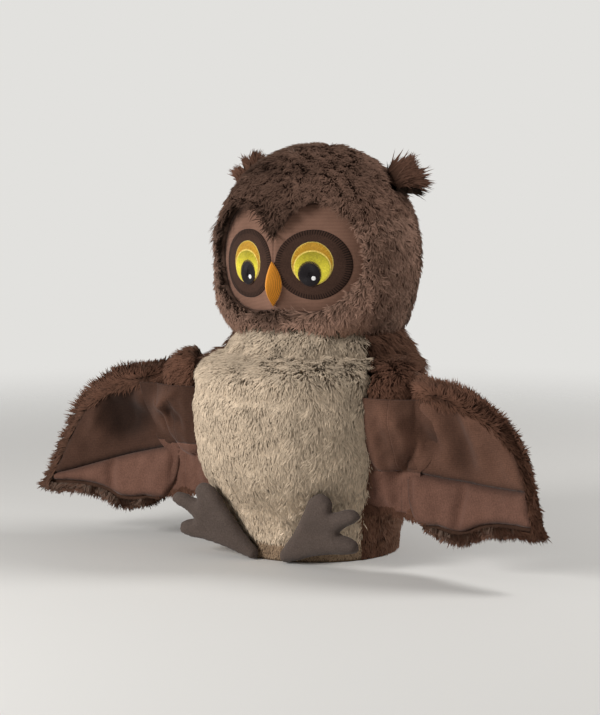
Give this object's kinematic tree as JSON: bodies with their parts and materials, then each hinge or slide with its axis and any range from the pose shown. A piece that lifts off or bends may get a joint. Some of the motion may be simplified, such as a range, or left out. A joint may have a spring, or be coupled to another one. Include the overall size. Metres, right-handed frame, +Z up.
{
  "type": "owl glove puppet",
  "caption": "Plush owl glove puppet with a turning head, spread velour lined wings, flat three toed feet and ear tufts.",
  "frame": {"origin": "on the surface it stands on, in the middle of its footprint box", "axes": "+Z up, -Y the way the owl looks, +X the owl's left side along the spread wings"},
  "size_m": [0.4468, 0.1863, 0.3181],
  "materials": {
    "head_fur": "short curly pile",
    "crown_fur": "long dark pile",
    "face_velour": "ribbed velour",
    "eye_felt": "felt with stitched rim",
    "gold_thread": "satin embroidery",
    "yellow_thread": "satin embroidery",
    "black_thread": "satin embroidery",
    "white_thread": "satin embroidery",
    "beak_satin": "satin",
    "belly_fur": "beige pile",
    "hem_plush": "short pile",
    "back_fur": "dark brown pile",
    "lining": "plain woven",
    "stuffing": "polyester filling",
    "wing_velour": "ribbed velour",
    "feather_velour": "ribbed velour",
    "foot_velour": "matt velour",
    "tuft_fur": "spiky pile"
  },
  "bodies": {
    "torso": {"belly_panel": "belly_fur", "back_panel_left": "back_fur", "back_panel_right": "back_fur", "hem_front": "hem_plush", "hem_back": "back_fur", "sleeve_lining": "lining"},
    "neck_turner": {"neck_lining": "lining"},
    "neck_nodder": {"neck_gusset": "head_fur"},
    "head": {"head_stuffing": "stuffing", "finger_tube": "lining", "crown_panel": "crown_fur", "cheek_left": "head_fur", "cheek_right": "head_fur", "chin_panel": "head_fur", "head_back_left": "crown_fur", "head_back_right": "crown_fur", "face_panel_left": "face_velour", "face_panel_right": "face_velour", "eye_disc_left": "eye_felt", "eye_disc_right": "eye_felt", "eye_gold_left": "gold_thread", "eye_gold_right": "gold_thread", "eye_yellow_left": "yellow_thread", "eye_yellow_right": "yellow_thread", "pupil_left": "black_thread", "pupil_right": "black_thread", "glint_left": "white_thread", "glint_right": "white_thread", "beak": "beak_satin"},
    "ear_left": {"tuft_left": "tuft_fur"},
    "ear_right": {"tuft_right": "tuft_fur"},
    "arm_left": {"shoulder_left": "back_fur"},
    "arm_right": {"shoulder_right": "back_fur"},
    "wing_left": {"wing_fur_left": "back_fur", "wing_velour_left": "wing_velour", "wing_feathers_left": "feather_velour"},
    "wing_right": {"wing_fur_right": "back_fur", "wing_velour_right": "wing_velour", "wing_feathers_right": "feather_velour"},
    "foot_left": {"foot_left": "foot_velour"},
    "foot_right": {"foot_right": "foot_velour"}
  },
  "joints": [
    {"name": "head_turn", "type": "hinge", "parent": "torso", "child": "neck_turner", "pos_m": [0, 0.014, 0.13], "axis": [0, 0, 1], "range_deg": [-40, 40]},
    {"name": "head_nod", "type": "hinge", "parent": "neck_turner", "child": "neck_nodder", "pos_m": [0, 0.014, 0.13], "axis": [1, 0, 0], "range_deg": [-12, 12]},
    {"name": "head_tilt", "type": "hinge", "parent": "neck_nodder", "child": "head", "pos_m": [0, 0.014, 0.13], "axis": [0, 1, 0], "range_deg": [-10, 10]},
    {"name": "wing_sweep_left", "type": "hinge", "parent": "torso", "child": "arm_left", "pos_m": [0.089, -0.026, 0.13], "axis": [0, 0, -1], "range_deg": [-45, 40]},
    {"name": "wing_flap_left", "type": "hinge", "parent": "arm_left", "child": "wing_left", "pos_m": [0.089, -0.026, 0.13], "axis": [-0.1736, -0.9848, 0], "range_deg": [0, 60]},
    {"name": "wing_sweep_right", "type": "hinge", "parent": "torso", "child": "arm_right", "pos_m": [-0.089, -0.026, 0.13], "axis": [0, 0, 1], "range_deg": [-45, 40]},
    {"name": "wing_flap_right", "type": "hinge", "parent": "arm_right", "child": "wing_right", "pos_m": [-0.089, -0.026, 0.13], "axis": [-0.1736, 0.9848, 0], "range_deg": [0, 60]},
    {"name": "foot_fold_left", "type": "hinge", "parent": "torso", "child": "foot_left", "pos_m": [0.01, -0.06128, 0.0035], "axis": [1, 0, 0], "range_deg": [0, 65]},
    {"name": "foot_fold_right", "type": "hinge", "parent": "torso", "child": "foot_right", "pos_m": [-0.01, -0.06128, 0.0035], "axis": [1, 0, 0], "range_deg": [0, 65]},
    {"name": "tuft_swing_left", "type": "hinge", "parent": "head", "child": "ear_left", "pos_m": [0.06239, 0.01895, 0.28946], "axis": [0.7741, 0.0629, 0.63], "range_deg": [-25, 25]},
    {"name": "tuft_swing_right", "type": "hinge", "parent": "head", "child": "ear_right", "pos_m": [-0.06239, 0.01895, 0.28946], "axis": [0.7741, -0.0629, -0.63], "range_deg": [-25, 25]}
  ]
}
